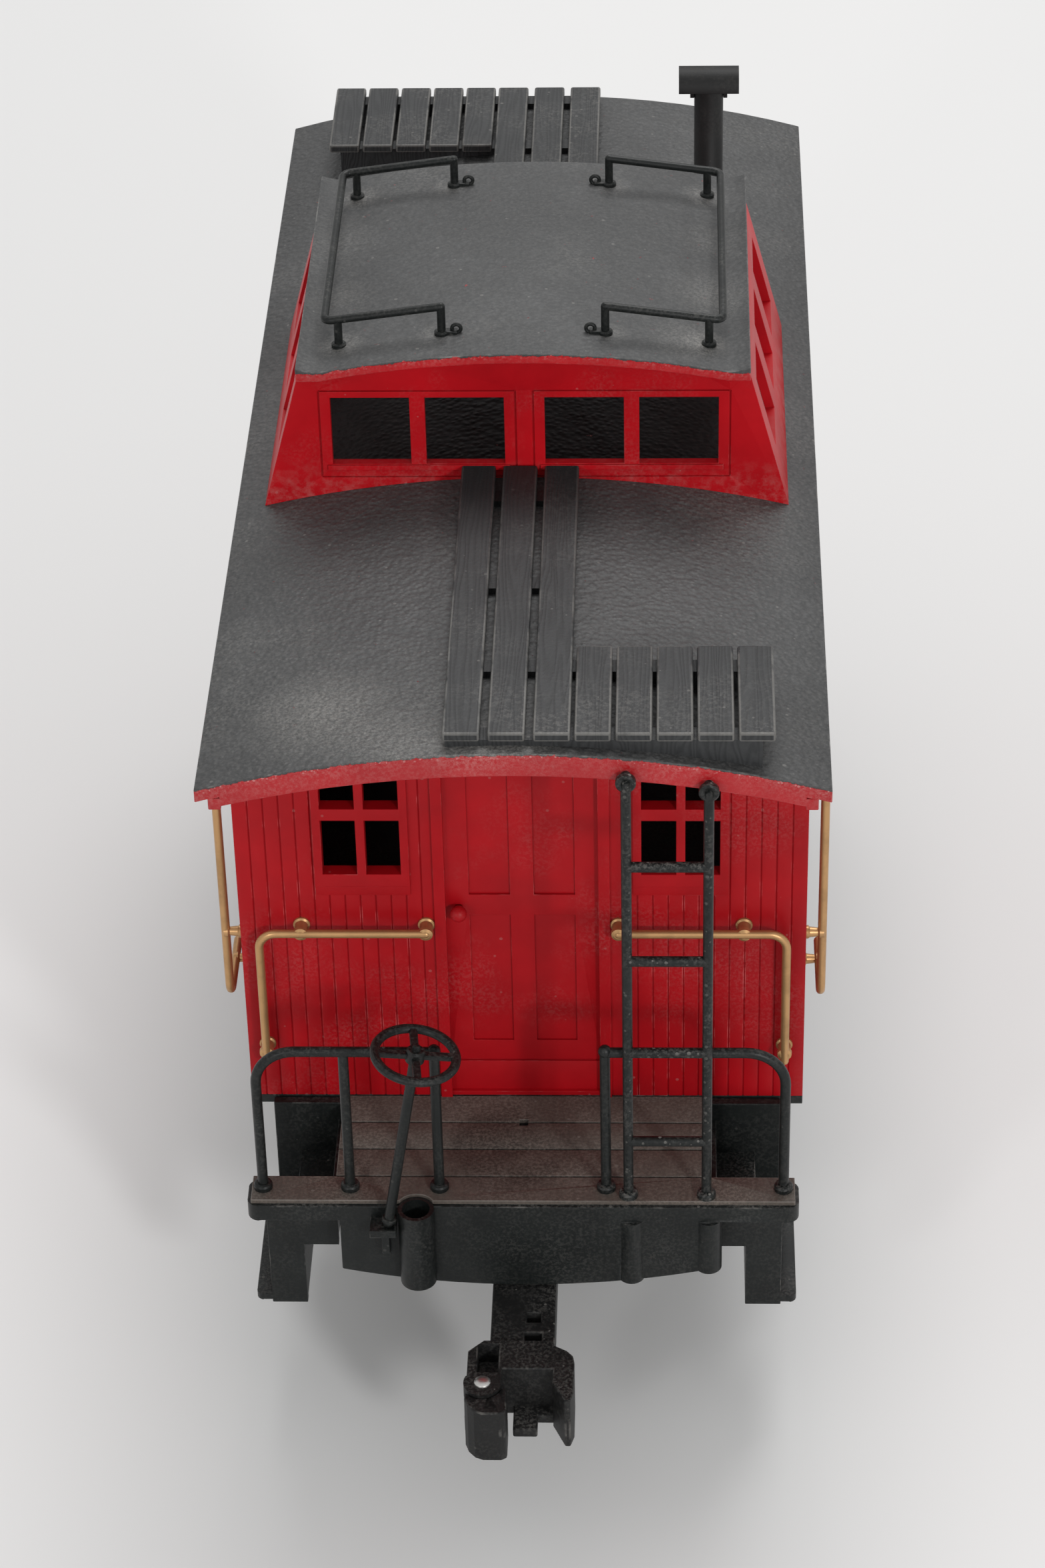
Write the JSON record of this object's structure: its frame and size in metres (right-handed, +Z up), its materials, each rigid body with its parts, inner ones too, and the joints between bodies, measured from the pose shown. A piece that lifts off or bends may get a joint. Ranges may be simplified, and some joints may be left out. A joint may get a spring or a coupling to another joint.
{
  "type": "model caboose",
  "caption": "Red four-wheel model caboose with cupola, end platforms, ladders, hand brakes, roof walks and swinging knuckle couplers.",
  "frame": {"origin": "on the floor under the middle of the car, at the bottom of the wheel flanges", "axes": "+Y along the car towards the rear end, which has the smokejack; +X across, to the right seen from the front; +Z up"},
  "size_m": [0.1222, 0.348, 0.2063],
  "materials": {
    "red_body": "satin crimson moulding, black top coat on the roof",
    "roof_black": "pebbled charcoal",
    "walk_black": "wood-grained charcoal",
    "deck_brown": "weathered board brown",
    "gold_rail": "satin gold",
    "frame_black": "satin black, dusty",
    "stove_black": "matte black",
    "coupler_black": "dusty black",
    "wheel_metal": "dark plated, bright tread",
    "steel": "bright steel",
    "brass_bush": "plain brass"
  },
  "bodies": {
    "car_body": {"axle_bushes": "brass_bush", "body_screws": "steel", "body_shell": "red_body", "cupola_rail_left": "frame_black", "cupola_rail_right": "frame_black", "cupola_roof": "roof_black", "cupola_shell": "red_body", "door_knobs": "red_body", "front_brake_bracket": "frame_black", "front_brake_side_railing": "frame_black", "front_coupler_mount": "coupler_black", "front_coupler_pivot_screw": "steel", "front_end_grab_rail_left": "gold_rail", "front_end_grab_rail_right": "gold_rail", "front_ladder": "frame_black", "front_ladder_side_railing": "frame_black", "front_platform_deck": "deck_brown", "front_platform_frame": "frame_black", "front_roof_walk": "walk_black", "front_side_grab_rail_left": "gold_rail", "front_side_grab_rail_right": "gold_rail", "front_steps_left": "frame_black", "front_steps_right": "frame_black", "rear_brake_bracket": "frame_black", "rear_brake_side_railing": "frame_black", "rear_coupler_mount": "coupler_black", "rear_coupler_pivot_screw": "steel", "rear_end_grab_rail_left": "gold_rail", "rear_end_grab_rail_right": "gold_rail", "rear_ladder": "frame_black", "rear_ladder_side_railing": "frame_black", "rear_platform_deck": "deck_brown", "rear_platform_frame": "frame_black", "rear_roof_walk": "walk_black", "rear_side_grab_rail_left": "gold_rail", "rear_side_grab_rail_right": "gold_rail", "rear_steps_left": "frame_black", "rear_steps_right": "frame_black", "roof_panel": "red_body", "side_frame_left": "frame_black", "side_frame_right": "frame_black", "smokejack_hood": "stove_black", "smokejack_stem": "stove_black", "underframe": "frame_black"},
    "front_wheelset": {"front_axle": "steel", "front_wheel_left": "wheel_metal", "front_wheel_right": "wheel_metal"},
    "rear_wheelset": {"rear_axle": "steel", "rear_wheel_left": "wheel_metal", "rear_wheel_right": "wheel_metal"},
    "front_brake_shaft": {"front_brake_staff": "frame_black", "front_brake_wheel": "frame_black"},
    "rear_brake_shaft": {"rear_brake_staff": "frame_black", "rear_brake_wheel": "frame_black"},
    "front_coupler": {"front_coupler_body": "coupler_black", "front_knuckle_pin": "steel"},
    "rear_coupler": {"rear_coupler_body": "coupler_black", "rear_knuckle_pin": "steel"},
    "front_knuckle": {"front_coupler_knuckle": "coupler_black"},
    "rear_knuckle": {"rear_coupler_knuckle": "coupler_black"}
  },
  "joints": [
    {"name": "front_axle_spin", "type": "hinge", "parent": "car_body", "child": "front_wheelset", "pos_m": [0, -0.05, 0.0185], "axis": [1, 0, 0], "continuous": true},
    {"name": "rear_axle_spin", "type": "hinge", "parent": "car_body", "child": "rear_wheelset", "pos_m": [0, 0.05, 0.0185], "axis": [1, 0, 0], "continuous": true},
    {"name": "front_brake_turn", "type": "hinge", "parent": "car_body", "child": "front_brake_shaft", "pos_m": [-0.0272, -0.1404, 0.0552], "axis": [0.1564, 0, 0.9877], "continuous": true},
    {"name": "rear_brake_turn", "type": "hinge", "parent": "car_body", "child": "rear_brake_shaft", "pos_m": [0.0272, 0.1404, 0.0552], "axis": [-0.1564, 0, 0.9877], "continuous": true},
    {"name": "front_coupler_swing", "type": "hinge", "parent": "car_body", "child": "front_coupler", "pos_m": [0, -0.1178, 0.0331], "axis": [0, 0, 1], "range_deg": [-12, 12]},
    {"name": "rear_coupler_swing", "type": "hinge", "parent": "car_body", "child": "rear_coupler", "pos_m": [0, 0.1178, 0.0331], "axis": [0, 0, 1], "range_deg": [-12, 12]},
    {"name": "front_knuckle_open", "type": "hinge", "parent": "front_coupler", "child": "front_knuckle", "pos_m": [-0.0076, -0.1658, 0.0312], "axis": [0, 0, -1], "range_deg": [0, 35]},
    {"name": "rear_knuckle_open", "type": "hinge", "parent": "rear_coupler", "child": "rear_knuckle", "pos_m": [0.0076, 0.1658, 0.0312], "axis": [0, 0, -1], "range_deg": [0, 35]}
  ]
}
